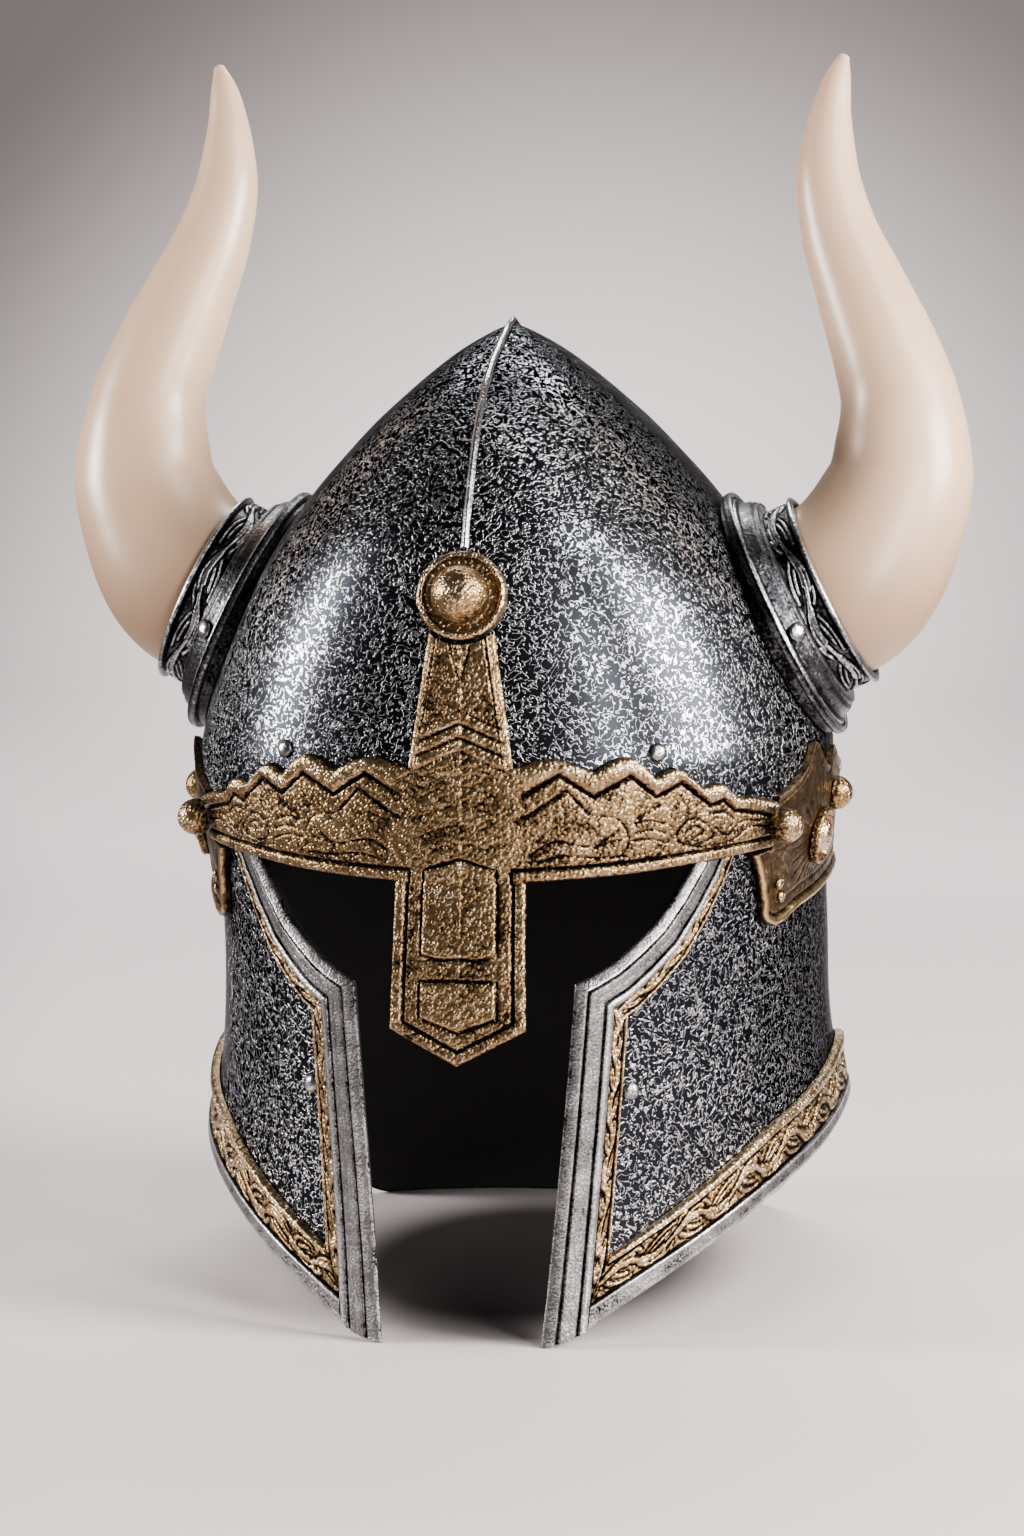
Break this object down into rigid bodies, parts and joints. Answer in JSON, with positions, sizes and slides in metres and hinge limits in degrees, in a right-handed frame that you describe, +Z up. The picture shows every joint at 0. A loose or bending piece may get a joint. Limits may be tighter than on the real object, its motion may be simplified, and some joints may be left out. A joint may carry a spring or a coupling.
{
  "type": "horned viking helmet",
  "caption": "Pointed steel helmet with a face guard, gold brow band and nasal bar, silver and gold trim round the face and hem, and two curved horns.",
  "frame": {"origin": "middle of the helmet's outline on the plane that the two cheek tips and the back rim rest on", "axes": "+Z is up, the face opening looks along -Y, and +X is the wearer's left, so the horns stand out along +X and -X"},
  "size_m": [0.3322, 0.2661, 0.4451],
  "materials": {
    "steel": "antiqued, mottled",
    "silver": "brushed, with dark grooves",
    "gold": "antiqued, cast relief",
    "bronze": "dark, hammered",
    "pewter": "dark, satin",
    "ivory": "polished resin"
  },
  "bodies": {
    "root": {"brow_nasal": "gold", "brow_rivet_L": "silver", "brow_rivet_R": "silver", "brow_stud_L": "gold", "brow_stud_R": "gold", "cheek_rivet_L": "silver", "cheek_rivet_R": "silver", "crest_rib": "silver", "face_frame_L": "silver", "face_frame_R": "silver", "face_guard": "steel", "face_inlay_L": "gold", "face_inlay_R": "gold", "flange_rivet_1_L": "silver", "flange_rivet_1_R": "silver", "flange_rivet_2_L": "silver", "flange_rivet_2_R": "silver", "flange_rivet_3_L": "silver", "flange_rivet_3_R": "silver", "hem_band": "gold", "hem_lip": "silver", "horn_L": "ivory", "horn_R": "ivory", "horn_flange_L": "pewter", "horn_flange_R": "pewter", "horn_sleeve_L": "pewter", "horn_sleeve_R": "pewter", "nape_band": "gold", "nasal_boss": "gold", "skull": "steel", "temple_boss_L": "gold", "temple_boss_R": "gold", "temple_plate_L": "bronze", "temple_plate_R": "bronze", "temple_rivet_lower_L": "gold", "temple_rivet_lower_R": "gold", "temple_rivet_upper_L": "gold", "temple_rivet_upper_R": "gold", "temple_stud_L": "gold", "temple_stud_R": "gold"}
  },
  "joints": []
}
